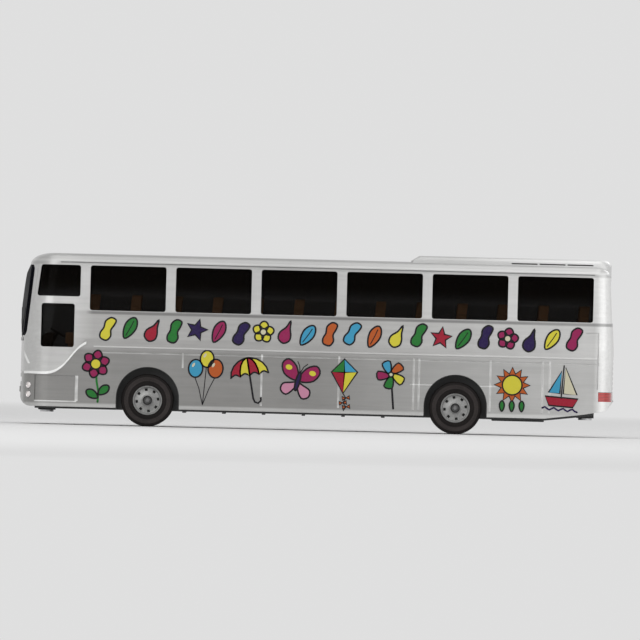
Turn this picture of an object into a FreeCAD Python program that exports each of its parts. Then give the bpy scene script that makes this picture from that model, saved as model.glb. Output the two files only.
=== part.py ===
import FreeCAD, Part
import math
import os

V = FreeCAD.Vector
up = V(0, 0, 1)
across = V(0, 1, 0)

# The toy's driving sizes in millimetres: the front is at -X, the left side at -Y, the floor at zero
length = 138.0
width = 28.7
roof_height = 39.8
belt_height = 20.3
skirt_height = 4.15
wall = 1.1
fit_gap = 0.1
front = -length / 2
rear = length / 2
half_width = width / 2
inner_half = half_width - wall

# Plan curves of the body, and how far its faces lean in between the belt and the roof
front_curve = 60.0
front_corner = 6.0
rear_curve = 160.0
rear_corner = 4.4
windscreen_rake = 2.0
side_lean = 1.1

# The rounding between the upright faces and the roof
round_drop = 2.6
front_round = 4.9
lean_angle = math.atan2(side_lean, roof_height - belt_height)
side_round = round_drop / math.cos(lean_angle)
arc_weight = math.cos((math.pi / 2 - lean_angle) / 2)
shoulder_height = roof_height - round_drop
shoulder_share = (shoulder_height - belt_height) / (roof_height - belt_height)

# The hollow inside the body: flats that stand in from the front, the rear and a side
nose_flat_depth = 0.25
nose_flat_half = 5.5
nose_slant_depth = 1.1
nose_slant_half = 10.1
nose_side_depth = 5.2
tail_flat_depth = 0.3
tail_flat_half = 10.6
tail_side_depth = 3.6
ceiling_front = 3.4
ceiling_side = 2.1
ceiling_rear = 2.0

# The axles and wheels
wheel_radius = 6.1
front_overhang = 29.8
rear_overhang = 36.7
tyre_width = 3.2
tyre_inset = 0.75
tyre_face = half_width - tyre_inset
rim_radius = 3.75
rim_lip = 0.4
rim_dish = 0.8
pocket_near = 1.75
pocket_far = 3.0
pocket_near_half = 0.36
pocket_far_half = 0.6
pocket_depth = 0.5
pockets = 8
axle_radius = 0.8
axle_inset = 0.3
bore_gap = 0.06

# The wheel arches, and the tubs that stand inside them
arch_radius = 7.35
arch_height = 6.5
tub_radius = 7.75
tub_wall = 0.6
tub_depth = 4.75
bearing_wall = 1.5

# The windows
windows = 6
window_lead = 15.9
window_tail = 5.2
pillar = 2.26
window_sill = 6.4
window_drop = 2.7
window_corner = 0.5
window_corner_sides = 2
quarter_lead = 3.6
quarter_sill = 9.5
quarter_slope = 0.9
driver_lead = 4.7
driver_end = 12.4
driver_sill = 2.3
driver_height = 10.1
screen_low_half = 12.0
screen_top_half = 11.4
screen_corner_share = 1.75
rear_window_half = 10.4
rear_window_height = 9.8
pane_depth = 0.3
pane_gap = 0.08
pane_clip = 0.4
glass_wall = 0.6
nose_reach = 6.0

# Beads, grooves and panel lines of the cast body
bead_rise = 14.15
bead_height = 0.35
bead_proud = 0.22
bead_lead = 17.0
bead_tail = 3.5
line_width = 0.26
line_depth = 0.18
gutter_drop = 2.2
gutter_depth = 0.35
gutter_lead = 9.0
gutter_tail = 5.0
panel_low = 1.3
panel_height = 12.0
waist_line_rise = 12.7
hatch_rise = 7.1
hatch_reach = 3.4
recess_lead = 3.5
recess_end = 13.0
recess_low = 1.4
recess_height = 5.8
tail_line_in = 3.7
tail_line_reach = 3.0
tail_line_low = 7.0
tail_line_height = 13.2
panel_line_shares = (0.406, 0.536, 0.662, 0.671, 0.791, 0.879, 0.891)
swoosh_lead = 0.9
swoosh_length = 14.4
swoosh_low = 7.75
swoosh_rise = 7.2
swoosh_width = 0.6
swoosh_proud = 0.2
swoosh_shares = ((0.0, 0.0), (0.3, 0.0), (0.46, 0.04), (0.6, 0.2), (0.86, 0.8), (1.0, 1.0))
door_lead = 3.6
door_end = 13.3
door_height = 25.2
roof_hatch_length = 7.0
roof_hatch_half = 4.2
roof_hatch_shares = (0.2, 0.5)
chin_radius = 2.6
tail_rise_share = 0.884
tail_mid_share = 0.95
tail_mid_rise = 1.15
tail_end_rise = 2.05
tail_corner_rise = 4.2
tail_corner_in = 1.8

# The front and rear ends
plate_half = 3.0
plate_height = 1.3
plate_proud = 0.15
front_plate_rise = 3.2
intake_half = 6.4
intake_height = 1.1
intake_rise = 5.6
intake_depth = 0.45
bumper_rise = 7.6
bumper_half = 8.4
rear_plate_rise = 3.3
vent_slots = 7
vent_rise = 6.5
vent_pitch = 1.15
vent_slot = 0.55
vent_half = 8.4
lamp_radius = 0.8
lamp_depth = 1.2
lamp_proud = 0.12
lamp_turn = 40.0
upper_lamp_height = 9.0
lower_lamp_height = 6.9
tail_lamp_depth = 3.6
tail_lamp_half = 8.9
tail_lamp_low = 8.4
tail_lamp_height = 2.2

# The roof air unit
unit_length = 46.6
unit_tail = 1.1
unit_rise = 1.45
unit_base = 1.2
unit_inset = 2.45
unit_slant = 0.8
unit_round = 0.9
unit_ramp = 1.9
unit_step = 0.3
unit_corner = 1.0
unit_side_slope = 26.0
unit_tail_slope = 40.0
louvres = 3
louvre_length = 19.5
louvre_tail = 4.9
louvre_web = 0.5
louvre_drop = 0.05
louvre_height = 0.4
louvre_depth = 0.5

# The seat deck
deck_drop = 3.7
deck_height = 1.0
deck_low = belt_height - deck_drop
deck_top = deck_low + deck_height
seat_rows = 12
seat_lead = 20.0
seat_tail = 9.4
aisle_half = 1.9
seat_half = 11.6
cushion_depth = 4.4
cushion_height = 3.9
back_height = 12.3
back_lean = 1.3
back_thickness = 1.8
driver_seat_lead = 10.4
dash_lead = 4.6
dash_depth = 2.4
dash_height = 3.2
steering_radius = 2.1
steering_bar = 0.5
steering_lead = 8.4
steering_side = 7.3
steering_tilt = 30.0

# The base plate
base_drop = 0.45
base_low = skirt_height - base_drop
base_thickness = 1.2
base_lead = 3.6
base_tail = 4.6
base_rise = 1.35
rib_width = 0.8
rib_drop = 0.3
rib_shares = (0.275, 0.342, 0.409, 0.476, 0.543, 0.61)
tray_lead = 110.0
tray_length = 12.0
tray_half = 9.5
tray_drop = 0.35
post_half = 1.0
post_shares = (0.11, 0.45, 0.85)

# The rivets and the lugs that they hold
rivet_inset = 6.3
rivet_radius = 0.8
rivet_head = 1.6
rivet_head_height = 0.45
rivet_depth = 4.4
pad_half = 2.0
pad_height = 0.4
lug_half = 1.9
lug_height = 9.6

# The rear corners and end turn about upright axes, which the lean leaves in place
rear_centre = rear - rear_curve
rear_corner_y = half_width - rear_corner
rear_corner_x = rear_centre + math.sqrt((rear_curve - rear_corner) ** 2 - rear_corner_y**2)
rear_turn = math.degrees(math.atan2(rear_corner_y, rear_corner_x - rear_centre))


def box(x0, x1, y0, y1, z0, z1):
    """Return a block between two corners, given in any order."""
    (x0, x1), (y0, y1), (z0, z1) = sorted((x0, x1)), sorted((y0, y1)), sorted((z0, z1))
    return Part.makeBox(x1 - x0, y1 - y0, z1 - z0, V(x0, y0, z0))


def rod(radius, y0, y1, x, z):
    """Return a round bar along Y."""
    y0, y1 = sorted((y0, y1))
    return Part.makeCylinder(radius, y1 - y0, V(x, y0, z), across)


def mirrored(shape):
    return shape.mirror(V(0, 0, 0), across)


def both_sides(shape):
    return [shape, mirrored(shape)]


def polygon(points):
    """Return the flat face inside a list of vectors."""
    return Part.Face(Part.makePolygon([*points, points[0]]))


def side_prism(points, y0, y1):
    """Return an outline of X and Z run from one Y to another."""
    return polygon([V(x, y0, z) for x, z in points]).extrude(V(0, y1 - y0, 0))


def rectangle(x0, x1, z0, z1):
    return [(x0, z0), (x1, z0), (x1, z1), (x0, z1)]


def closed_solid(faces):
    """Return the solid inside faces that meet at their edges."""
    shell = Part.makeShell(faces)
    shell.sewShape()
    solid = Part.Solid(shell)
    if solid.Volume < 0:
        solid.reverse()
    return solid


def shrunk(points, gap):
    """Return an outline of X and Z with its sides moved in by a gap."""
    if not gap:
        return points
    inner = polygon([V(x, 0, z) for x, z in points]).makeOffset2D(-gap, 2)
    return [(vertex.X, vertex.Z) for vertex in inner.OuterWire.OrderedVertexes]


def eased_prism(points, radius, y0, y1, sides):
    """Return an outline run along Y with its corners eased by short sides on an arc."""
    outline = []
    for before, here, after in zip(points[-1:] + points, points, points[1:] + points[:1]):
        corner = V(here[0], y0, here[1])
        back = (V(before[0], y0, before[1]) - corner).normalize()
        ahead = (V(after[0], y0, after[1]) - corner).normalize()
        half_turn = back.getAngle(ahead) / 2
        centre = corner + (back + ahead).normalize() * (radius / math.sin(half_turn))
        first = corner + back * (radius / math.tan(half_turn)) - centre
        last = corner + ahead * (radius / math.tan(half_turn)) - centre
        turn = first.getAngle(last)
        for n in range(sides + 1):
            part = turn * n / sides
            arm = first * math.sin(turn - part) + last * math.sin(part)
            outline.append(centre + arm / math.sin(turn))
    return polygon(outline).extrude(V(0, y1 - y0, 0))


def front_edges(face, half, big, small):
    """Return the plan arcs of the front: right corner, nose, left corner, as start, control, end, weight."""
    centre = face + big
    side_x = centre - math.sqrt((big - small) ** 2 - (half - small) ** 2)
    turn = math.atan2(half - small, centre - side_x)
    touch = (centre - big * math.cos(turn), big * math.sin(turn))
    control_x = side_x - small * math.tan(math.pi / 4 - turn / 2)
    weight = math.cos(math.pi / 4 - turn / 2)
    opposite = (touch[0], -touch[1])
    nose_control = (touch[0] - touch[1] * math.tan(turn), 0)
    return [
        ((side_x, half), (control_x, half), touch, weight),
        (touch, nose_control, opposite, math.cos(turn)),
        (opposite, (control_x, -half), (side_x, -half), weight),
    ]


def corner_for(face, half, big, side_x):
    """Return the corner radius that brings the side line to a given X."""
    centre = face + big
    return (big**2 - half**2 - (side_x - centre) ** 2) / (2 * (big - half))


def front_outline(share, inset):
    """Return the front plan arcs at a share of the way from the belt to the roof."""
    face = front + windscreen_rake * share + inset
    half = half_width - side_lean * share - inset
    return front_edges(face, half, front_curve - inset, front_corner - inset)


def roof_front(from_front, from_side):
    """Return the front plan arcs at the roof's height that keep the shoulder's side line."""
    face = front + windscreen_rake + from_front
    half = half_width - side_lean - from_side
    big = front_curve - from_front
    side_x = front_outline(shoulder_share, 0)[0][0][0]
    return front_edges(face, half, big, corner_for(face, half, big, side_x))


def patch(rows, heights, weights):
    """Return the smooth face through one plan arc at each height."""
    poles = [[V(*row[c], z) for row, z in zip(rows, heights)] for c in range(3)]
    shares = [[(row[3] if c == 1 else 1.0) * weight for row, weight in zip(rows, weights)] for c in range(3)]
    degree = len(rows) - 1
    ends = [0.0, 1.0]
    surface = Part.BSplineSurface()
    surface.buildFromPolesMultsKnots(
        poles, [3, 3], [degree + 1] * 2, ends, ends, False, False, 2, degree, shares
    )
    return surface.toShape()


def swept_rear(edge):
    """Return the faces that an upright edge at the end of the right side makes round the rear."""
    pivot = V(rear_corner_x, rear_corner_y, 0)
    corner = edge.revolve(pivot, up, rear_turn - 90)
    touching = edge.copy()
    touching.rotate(pivot, up, rear_turn - 90)
    return [corner, touching.revolve(V(rear_centre, 0, 0), up, -2 * rear_turn), mirrored(corner)]


def plan_face(front_arcs, half, z):
    """Return the flat face of the body at a height, from its front arcs and half width."""
    edges = []
    for start, control, end, weight in front_arcs:
        first, last = V(*start, z), V(*end, z)
        middle = (first + V(*control, z) * (2 * weight) + last) / (2 + 2 * weight)
        edges.append(Part.Arc(first, middle, last).toShape())
    off = half_width - half
    for radius, x, y, first, last in (
        (rear_corner - off, rear_corner_x, rear_corner_y, rear_turn, 90),
        (rear_curve - off, rear_centre, 0, -rear_turn, rear_turn),
        (rear_corner - off, rear_corner_x, -rear_corner_y, -90, -rear_turn),
    ):
        circle = Part.Circle(V(x, y, z), up, radius)
        edges.append(circle.toShape(math.radians(first), math.radians(last)))
    edges.append(Part.makeLine(V(*front_arcs[2][2], z), V(rear_corner_x, -half, z)))
    edges.append(Part.makeLine(V(*front_arcs[0][0], z), V(rear_corner_x, half, z)))
    return Part.Face(Part.Wire(Part.__sortEdges__(edges)))


def lower_form(inset, low):
    """Return the upright lower body moved in by an inset, from a height up to the belt."""
    face = plan_face(front_outline(0, inset), half_width - inset, belt_height)
    return face.extrude(V(0, 0, low - belt_height))


def body_form(inset, roofed):
    """Return the body's solid form moved in by an inset, up to its shoulder or with its rounded roof."""
    half = half_width - inset
    shoulder_half = half - side_lean * shoulder_share
    belt, shoulder = front_outline(0, inset), front_outline(shoulder_share, inset)
    faces = [patch([a, b], [belt_height, shoulder_height], [1, 1]) for a, b in zip(belt, shoulder)]
    low, high = V(rear_corner_x, half, belt_height), V(rear_corner_x, shoulder_half, shoulder_height)
    faces += swept_rear(Part.makeLine(low, high))
    front_low, front_high = V(*belt[0][0], belt_height), V(*shoulder[0][0], shoulder_height)
    faces += both_sides(polygon([front_low, low, high, front_high]))
    top, top_half, top_height = shoulder, shoulder_half, shoulder_height
    if roofed:
        crown, top = roof_front(0, 0), roof_front(front_round, side_round)
        top_half, top_height = half_width - side_lean - side_round, roof_height
        heights = [shoulder_height, roof_height, roof_height]
        faces += [patch(rows, heights, [1, arc_weight, 1]) for rows in zip(shoulder, crown, top)]
        control = V(rear_corner_x, half_width - side_lean, roof_height)
        end = V(rear_corner_x, top_half, roof_height)
        middle = (high + control * (2 * arc_weight) + end) / (2 + 2 * arc_weight)
        bend = Part.Arc(high, middle, end).toShape()
        faces += swept_rear(bend)
        faces += both_sides(bend.extrude(V(shoulder[0][0][0] - rear_corner_x, 0, 0)))
    faces += [plan_face(belt, half, belt_height), plan_face(top, top_half, top_height)]
    return closed_solid(faces).fuse(lower_form(inset, skirt_height)).removeSplitter()


def hollow_plan(gap, share, z, from_front=0, from_side=0, from_rear=0):
    """Return the corners of the hollow's plan at a share of the lean, moved in further."""
    off = wall + gap
    nose = [
        (nose_flat_depth, nose_flat_half),
        (nose_slant_depth, nose_slant_half),
        (nose_side_depth, inner_half),
    ]
    tail = [(tail_side_depth, inner_half), (tail_flat_depth, tail_flat_half)]
    x_front = front + off + windscreen_rake * share + from_front
    x_rear = rear - off - side_lean * share - from_rear
    y_in = gap + side_lean * share + from_side
    right = [(x_front + x, y - y_in) for x, y in nose] + [(x_rear - x, y - y_in) for x, y in tail]
    left = [(x, -y) for x, y in reversed(right)]
    return [V(x, y, z) for x, y in right + left]


def hollow_form(gap, low):
    """Return the flat-sided hollow of the body moved in by a gap, from a height up to its ceiling."""
    ceiling = roof_height - wall - gap
    levels = [
        hollow_plan(gap, 0, low),
        hollow_plan(gap, 0, belt_height),
        hollow_plan(gap, shoulder_share, shoulder_height),
        hollow_plan(gap, 1, ceiling, ceiling_front, ceiling_side, ceiling_rear),
    ]
    faces = [polygon(levels[0]), polygon(levels[-1])]
    for under, over in zip(levels, levels[1:]):
        for n in range(len(under)):
            faces.append(polygon([under[n - 1], under[n], over[n], over[n - 1]]))
    return closed_solid(faces)


def side_windows():
    """Return the outlines of the windows that both sides have."""
    low, top = belt_height + window_sill, roof_height - window_drop
    pitch = (length - window_lead - window_tail + pillar) / windows
    outlines = []
    for n in range(windows):
        x = front + window_lead + pitch * n
        outlines.append(rectangle(x, x + pitch - pillar, low, top))
    x0, x1 = front + quarter_lead, front + window_lead - pillar
    sill = belt_height + quarter_sill
    outlines.append([(x0, sill), (x1, sill), (x1, top), (x0 + quarter_slope, top)])
    z0 = belt_height - driver_sill
    outlines.append(rectangle(front + driver_lead, front + driver_end, z0, z0 + driver_height))
    return outlines


def window_blocks(gap, radius, sides):
    """Return the blocks that cut the window openings, or with a gap and clipped corners fill them."""
    reach = half_width + wall
    low, top = belt_height, roof_height - window_drop
    blocks = [eased_prism(shrunk(o, gap), radius, -reach, reach, sides) for o in side_windows()]
    screen = [
        (-screen_low_half, low),
        (screen_low_half, low),
        (screen_top_half, top),
        (-screen_top_half, top),
    ]
    sill = belt_height + window_sill
    back = rectangle(-rear_window_half, rear_window_half, sill, sill + rear_window_height)
    for outline, x in ((screen, front), (back, rear)):
        corner = radius * screen_corner_share
        block = eased_prism(shrunk(outline, gap), corner, -nose_reach, nose_reach, sides)
        block.rotate(V(0, 0, 0), up, -90)
        blocks.append(block.translated(V(x, 0, 0)))
    return blocks


def lower_edge():
    """Return what shapes the lower edge: a round chin, the long skirt and the rise to the tail."""
    out, low = front - wall, skirt_height
    start, end = V(front, 0, low + chin_radius), V(front + chin_radius, 0, low)
    lean = chin_radius * (1 - math.sqrt(1 / 2))
    corners = [
        end,
        V(front + length * tail_rise_share, 0, low),
        V(front + length * tail_mid_share, 0, low + tail_mid_rise),
        V(rear - tail_corner_in, 0, low + tail_end_rise),
        V(rear, 0, low + tail_corner_rise),
        V(rear + wall, 0, low + tail_corner_rise),
        V(rear + wall, 0, 0),
        V(out, 0, 0),
        V(out, 0, low + chin_radius),
        start,
    ]
    edges = [Part.makeLine(a, b) for a, b in zip(corners, corners[1:])]
    edges.append(Part.Arc(start, V(front + lean, 0, low + lean), end).toShape())
    face = Part.Face(Part.Wire(Part.__sortEdges__(edges))).translated(V(0, -width, 0))
    return face.extrude(V(0, 2 * width, 0))


def swoosh():
    """Return the line that sweeps down to the front corners, raised on both sides."""
    x, z = front + swoosh_lead, skirt_height + swoosh_low
    edges = []
    for offset in (-swoosh_width / 2, swoosh_width / 2):
        points = [V(x + swoosh_length * a, 0, z + swoosh_rise * b + offset) for a, b in swoosh_shares]
        curve = Part.BSplineCurve()
        curve.interpolate(points)
        edges.append(curve.toShape())
    low, high = edges
    ends = (low.FirstParameter, low.LastParameter)
    edges += [Part.makeLine(low.valueAt(t), high.valueAt(t)) for t in ends]
    face = Part.Face(Part.Wire(Part.__sortEdges__(edges))).translated(V(0, -width, 0))
    return face.extrude(V(0, 2 * width, 0)).common(lower_form(-swoosh_proud, 0))


def lamp(z, grow=0, extra=0):
    """Return a round lamp set in the right front corner, grown and lengthened for its socket."""
    turn = math.radians(lamp_turn)
    out = V(-math.cos(turn), math.sin(turn), 0)
    side_x = front_outline(0, 0)[0][0][0]
    foot = V(side_x, half_width - front_corner, z) + out * (front_corner - lamp_depth - grow)
    return Part.makeCylinder(lamp_radius + grow, lamp_depth + lamp_proud + grow + extra, foot, out)


def wheel_places():
    return {"front": front + front_overhang, "rear": rear - rear_overhang}


def rivet_places():
    return {"front": front + rivet_inset, "rear": rear - rivet_inset}


def base_under(x):
    """Return the height of the base plate's underside."""
    start = front + length * tail_rise_share
    return base_low + base_rise * max(0.0, (x - start) / (rear - base_tail - start))


def engraved():
    """Return the panel, hatch and door lines, cut to one depth all round the body."""
    boxes = []
    z = skirt_height + panel_low
    for share in panel_line_shares:
        x = front + length * share
        boxes.append(box(x, x + line_width, -width, width, z, z + panel_height))
    z = skirt_height + waist_line_rise
    boxes.append(box(front + bead_lead, rear - bead_tail, -width, width, z, z + line_width))
    x, z = rear - rear_overhang, skirt_height + hatch_rise
    reach = arch_radius + hatch_reach
    boxes.append(box(x - reach, x + reach, -width, width, z, z + line_width))
    x, z = rear - tail_line_in, skirt_height + tail_line_low
    top = z + tail_line_height
    boxes.append(box(x - line_width, x, -width, width, z, top))
    boxes.append(box(x - tail_line_reach, x, -width, width, top - line_width, top))
    z = skirt_height + recess_low
    boxes.append(box(front + recess_lead, front + recess_end, -width, 0, z, z + recess_height))
    x0, x1 = front + door_lead, front + door_end
    z0, z1 = skirt_height + line_width, skirt_height + door_height
    door = box(x0, x1, 0, width, z0, z1)
    boxes.append(door.cut(box(x0 + line_width, x1 - line_width, 0, width, z0, z1 - line_width)))
    z = skirt_height + bumper_rise
    boxes.append(box(front - wall, front + nose_reach, -bumper_half, bumper_half, z, z + line_width))
    return boxes[0].fuse(boxes[1:]).cut(body_form(line_depth, False))


def end_cuts():
    """Return the intake, the vents, the gutters and the outlines of the roof hatches."""
    z = skirt_height + intake_rise
    intake = box(front - wall, front + nose_reach, -intake_half, intake_half, z, z + intake_height)
    cuts = [intake.cut(lower_form(intake_depth, 0))]
    for n in range(vent_slots):
        z = skirt_height + vent_rise + vent_pitch * n
        cuts.append(box(rear - wall / 2, rear + wall, -vent_half, vent_half, z, z + vent_slot))
    z = roof_height - gutter_drop
    near = half_width - side_lean - gutter_depth
    cuts += both_sides(box(front + gutter_lead, rear - gutter_tail, near, width, z, z + line_width))
    half, deep, high = roof_hatch_half, roof_height - line_depth, roof_height + wall
    for share in roof_hatch_shares:
        x0 = front + length * share
        x1 = x0 + roof_hatch_length
        inside = box(x0 + line_width, x1 - line_width, line_width - half, half - line_width, deep, high)
        cuts.append(box(x0, x1, -half, half, deep, high).cut(inside))
    return cuts


def tail_lamp_block(gap):
    """Return the block of the right rear corner that its lamp fills."""
    x, y, z = rear - tail_lamp_depth, tail_lamp_half, tail_lamp_low
    return box(x + gap, rear + wall, y + gap, width, z + gap, z + tail_lamp_height - gap)


def lugs():
    """Return the lugs on the end walls that the rivets hold."""
    solids = []
    for x in rivet_places().values():
        low = base_under(x) + base_thickness + pad_height
        lug = box(x - lug_half, x + lug_half, -lug_half, lug_half, low, low + lug_height)
        end = math.copysign(rear - wall / 2, x)
        lug = lug.fuse(box(x, end, -lug_half / 2, lug_half / 2, low + lug_height / 2, low + lug_height))
        hole = Part.makeCylinder(rivet_radius + fit_gap / 2, rivet_depth + fit_gap, V(x, 0, base_under(x)))
        solids.append(lug.cut(hole))
    return solids


def body_shell():
    """Return the cast body: hollow, open below, with its windows, arches and lamp sockets cut."""
    low = skirt_height + bead_rise - bead_height / 2
    side = half_width + bead_proud
    adds = [box(front + bead_lead, rear - bead_tail, -side, side, low, low + bead_height), swoosh()]
    z = skirt_height + front_plate_rise
    adds.append(box(front - plate_proud, front + wall, -plate_half, plate_half, z, z + plate_height))
    z = skirt_height + rear_plate_rise
    adds.append(box(rear - wall, rear + plate_proud, -plate_half, plate_half, z, z + plate_height))
    cuts = [hollow_form(0, 0), lower_edge(), engraved()]
    cuts += window_blocks(0, window_corner, window_corner_sides) + end_cuts()
    for x in wheel_places().values():
        cuts.append(rod(arch_radius, -width, width, x, arch_height))
        cuts.append(box(x - arch_radius, x + arch_radius, -width, width, 0, arch_height))
    for z in (upper_lamp_height, lower_lamp_height):
        cuts += both_sides(lamp(z, fit_gap / 2, wall))
    cuts += both_sides(tail_lamp_block(0))
    return body_form(0, True).fuse(adds).cut(cuts).fuse(lugs())


def tail_lamp():
    """Return the right tail lamp, which wraps round the rear corner."""
    gap = fit_gap / 2
    return tail_lamp_block(gap).common(lower_form(gap, 0)).cut(hollow_form(0, 0))


def seat_line(start, degrees):
    """Return where a slope that touches the roof's rounding meets the top and the unit's base."""
    slope = math.radians(degrees)
    top = start + round_drop * math.tan(slope / 2)
    return top, top + unit_base / math.tan(slope)


def roof_cover():
    """Return a flat-sided form that just clears the roof and its roundings."""
    x, x_low = seat_line(rear - side_lean - round_drop, unit_tail_slope)
    y, y_low = seat_line(half_width - side_lean - side_round, unit_side_slope)
    low, top = roof_height - unit_base, roof_height
    side = [(-length, low), (x_low, low), (x, top), (-length, top)]
    section = [(-y_low, low), (y_low, low), (y, top), (-y, top)]
    across_roof = polygon([V(front, b, z) for b, z in section]).extrude(V(length, 0, 0))
    return side_prism(side, -width, width).common(across_roof)


def roof_air_unit():
    """Return the raised air unit that lies over the rear roof, with air slots along its sides."""
    start, end = rear - unit_tail - unit_length, rear - unit_tail
    low, top = roof_height - unit_base, roof_height + unit_rise
    side = [
        (start, low),
        (end, low),
        (end, top - unit_corner),
        (end - unit_corner, top),
        (start + unit_ramp, top),
        (start, roof_height + unit_step),
    ]
    half = half_width - unit_inset
    top_half = half - unit_slant
    section = [(-half, low), (half, low), (top_half, top), (-top_half, top)]
    bar = polygon([V(start, y, z) for y, z in section]).extrude(V(end - start, 0, 0))
    long_edges = [e for e in bar.Edges if e.BoundBox.ZMin > roof_height and e.BoundBox.XLength > width]
    bar = bar.makeFillet(unit_round, long_edges)
    unit = bar.common(side_prism(side, -width, width)).cut(roof_cover())
    pitch = louvre_length / louvres
    slots = []
    for n in range(louvres):
        x, z = rear - louvre_tail - louvre_length + pitch * n, roof_height - louvre_drop
        near, end = top_half - louvre_depth, x + pitch - louvre_web
        slots += both_sides(box(x, end, near, width, z, z + louvre_height))
    return unit.cut(slots)


def glazing_unit():
    """Return the one-piece tinted glazing, its panes standing out into the openings."""
    panes = window_blocks(pane_gap, pane_clip, 1)
    panes = body_form(pane_depth, False).common(panes[0].fuse(panes[1:]))
    inner = hollow_form(fit_gap + glass_wall, 0)
    return hollow_form(fit_gap, deck_top + fit_gap).fuse(panes).cut(inner)


def seat():
    """Return the double seats of one row on the right side."""
    foot, top = deck_low + deck_height / 2, deck_top + back_height
    outline = [
        (0, foot),
        (cushion_depth + back_thickness, foot),
        (cushion_depth + back_thickness + back_lean, top),
        (cushion_depth + back_lean, top),
        (cushion_depth, deck_top + cushion_height),
        (0, deck_top + cushion_height),
    ]
    return side_prism(outline, aisle_half, seat_half)


def steering_wheel():
    """Return the steering wheel on its column."""
    ring = Part.makeCylinder(steering_radius, steering_bar)
    ring = ring.cut(Part.makeCylinder(steering_radius - steering_bar, steering_bar))
    reach, half = steering_radius - steering_bar / 2, steering_bar / 2
    spoke = box(-reach, reach, -half, half, 0, steering_bar)
    column = box(-half, half, -half, half, -dash_height, steering_bar)
    wheel = ring.fuse([spoke, column])
    wheel.rotate(V(0, 0, 0), across, -steering_tilt)
    return wheel.translated(V(front + steering_lead, -steering_side, deck_top + dash_height + steering_bar))


def seat_deck():
    """Return the moulded floor with its seats, dashboard and steering wheel."""
    deck = polygon(hollow_plan(fit_gap, 0, deck_low)).extrude(V(0, 0, deck_height))
    row = seat()
    pitch = (length - seat_lead - seat_tail - cushion_depth) / (seat_rows - 1)
    seats = []
    for n in range(seat_rows):
        seats += both_sides(row.translated(V(front + seat_lead + pitch * n, 0, 0)))
    seats.append(mirrored(row).translated(V(front + driver_seat_lead, 0, 0)))
    x, half = front + dash_lead, nose_slant_half
    dash = box(x, x + dash_depth, -half, half, deck_low, deck_top + dash_height)
    return deck.fuse([*seats, dash, steering_wheel()]).removeSplitter()


def base_plate():
    """Return the underside: plate, wheel tubs with axle bearings, ribs, rivet pads and posts."""
    rise_start, end = front + length * tail_rise_share, rear - base_tail
    side = [
        (front + base_lead, base_low),
        (rise_start, base_low),
        (end, base_low + base_rise),
        (end, base_low + base_rise + base_thickness),
        (rise_start, base_low + base_thickness),
        (front + base_lead, base_low + base_thickness),
    ]
    plan = polygon(hollow_plan(fit_gap, 0, 0)).extrude(V(0, 0, belt_height))
    solids = [side_prism(side, -width, width).common(plan)]
    half, middle = inner_half - fit_gap, base_low + base_thickness / 2
    for share in rib_shares:
        x = front + length * share
        solids.append(box(x, x + rib_width, -half, half, base_low - rib_drop, middle))
    x = front + tray_lead
    solids.append(box(x, x + tray_length, -tray_half, tray_half, base_low - tray_drop, middle))
    for share in post_shares:
        x = front + length * share
        solids.append(box(x - post_half, x + post_half, -post_half, post_half, base_low, deck_low))
    cuts = []
    for x in rivet_places().values():
        low, height = base_under(x) - pad_height, base_thickness + 2 * pad_height
        solids.append(box(x - pad_half, x + pad_half, -pad_half, pad_half, low, low + height))
        cuts.append(Part.makeCylinder(rivet_radius + fit_gap / 2, height, V(x, 0, low)))
    bay = tub_radius - tub_wall
    for x in wheel_places().values():
        for sign in (-1, 1):
            near, far = sign * (half - tub_depth), sign * half
            block = rod(tub_radius, near, far, x, arch_height)
            block = block.fuse(box(x - tub_radius, x + tub_radius, near, far, base_low, arch_height))
            solids.append(block.common(box(x - tub_radius, x + tub_radius, near, far, base_low, width)))
            inside = near + sign * bearing_wall
            cuts.append(rod(bay, inside, sign * width, x, arch_height))
            cuts.append(box(x - bay, x + bay, inside, sign * width, 0, arch_height))
        cuts.append(rod(axle_radius + bore_gap, -width, width, x, wheel_radius))
    return solids[0].fuse(solids[1:]).cut(cuts).removeSplitter()


def turned(points, sign, x):
    """Return a solid turned about a wheel's axis from points of radius and Y."""
    face = polygon([V(x + radius, sign * y, wheel_radius) for radius, y in points])
    return face.revolve(V(x, 0, wheel_radius), across, 360)


def tyre(x, sign):
    """Return a plain tyre, a ring round its rim."""
    outer, inner = tyre_face, tyre_face - tyre_width
    points = [(rim_radius, inner), (wheel_radius, inner), (wheel_radius, outer), (rim_radius, outer)]
    return turned(points, sign, x)


def rim(x, sign):
    """Return a dished rim with a ring of pockets, bored for its axle."""
    outer, inner = tyre_face, tyre_face - tyre_width
    dish = outer - rim_dish
    points = [
        (axle_radius, inner),
        (rim_radius, inner),
        (rim_radius, outer),
        (rim_radius - rim_lip, outer),
        (rim_radius - rim_lip, dish),
        (axle_radius, dish),
    ]
    corners = [
        (x + pocket_near, wheel_radius - pocket_near_half),
        (x + pocket_far, wheel_radius - pocket_far_half),
        (x + pocket_far, wheel_radius + pocket_far_half),
        (x + pocket_near, wheel_radius + pocket_near_half),
    ]
    pocket = side_prism(corners, sign * (dish - pocket_depth), sign * outer)
    holes = []
    for n in range(pockets):
        hole = pocket.copy()
        hole.rotate(V(x, 0, wheel_radius), across, 360 * n / pockets)
        holes.append(hole)
    return turned(points, sign, x).cut(holes)


def rivet(x):
    """Return a rivet that holds the base plate to the body."""
    low = base_under(x) - pad_height
    head = Part.makeCylinder(rivet_head, rivet_head_height, V(x, 0, low - rivet_head_height))
    return head.fuse(Part.makeCylinder(rivet_radius, rivet_depth, V(x, 0, low)))


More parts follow.
